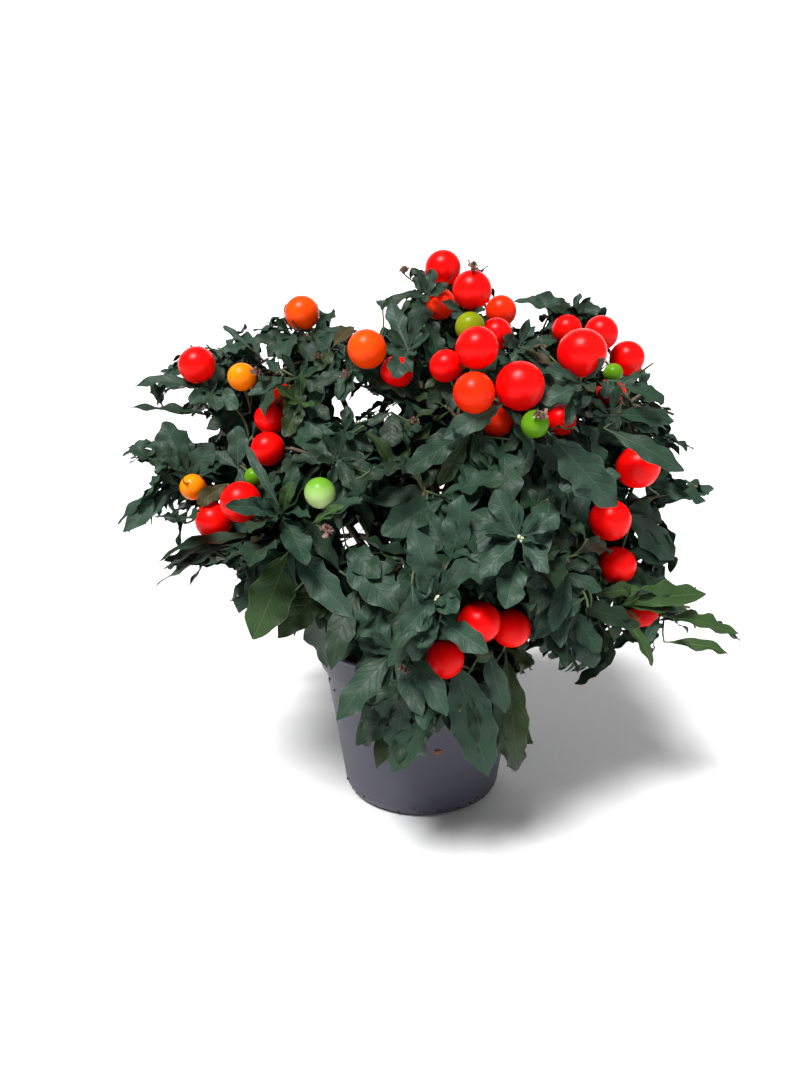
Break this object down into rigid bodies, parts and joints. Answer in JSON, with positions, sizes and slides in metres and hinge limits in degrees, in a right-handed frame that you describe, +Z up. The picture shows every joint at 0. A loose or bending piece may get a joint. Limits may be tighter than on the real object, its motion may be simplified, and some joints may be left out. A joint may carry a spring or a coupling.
{
  "type": "potted jerusalem cherry",
  "caption": "Bushy evergreen house plant with round orange-red fruit, in a plastic nursery pot that it stands on.",
  "frame": {"origin": "centre of the pot's flat underside", "axes": "+Z up, -Y towards the side with the most fruit, +X to the right of someone who looks at that side"},
  "size_m": [0.3551, 0.3141, 0.308],
  "materials": {
    "pot": "matt grey-purple plastic",
    "soil": "fibrous brown compost",
    "bark": "thin grey-brown bark",
    "foliage": "matt dark green leaves",
    "fruit": "glossy orange-red skin"
  },
  "bodies": {
    "root": {"pot": "pot", "soil": "soil", "trunk": "bark", "bough_left_shoulder": "bark", "bough_left_side": "bark", "bough_left_top": "bark", "bough_left_front": "bark", "bough_left_low": "bark", "bough_top": "bark", "bough_crown_front": "bark", "bough_right_top": "bark", "bough_right_front": "bark", "bough_right_shoulder": "bark", "bough_right_side": "bark", "bough_right_low": "bark", "bough_front": "bark", "bough_front_right": "bark", "bough_apron": "bark", "bough_back_left": "bark", "bough_back_low_left": "bark", "bough_back_top": "bark", "bough_back_middle": "bark", "bough_back_right": "bark", "bough_back_low_right": "bark", "foliage_left_shoulder": "foliage", "foliage_left_side": "foliage", "foliage_left_top": "foliage", "foliage_left_front": "foliage", "foliage_left_low": "foliage", "foliage_top": "foliage", "foliage_crown_front": "foliage", "foliage_right_top": "foliage", "foliage_right_front": "foliage", "foliage_right_shoulder": "foliage", "foliage_right_side": "foliage", "foliage_right_low": "foliage", "foliage_front": "foliage", "foliage_front_right": "foliage", "foliage_apron": "foliage", "foliage_back_left": "foliage", "foliage_back_low_left": "foliage", "foliage_back_top": "foliage", "foliage_back_middle": "foliage", "foliage_back_right": "foliage", "foliage_back_low_right": "foliage"}
  },
  "joints": []
}
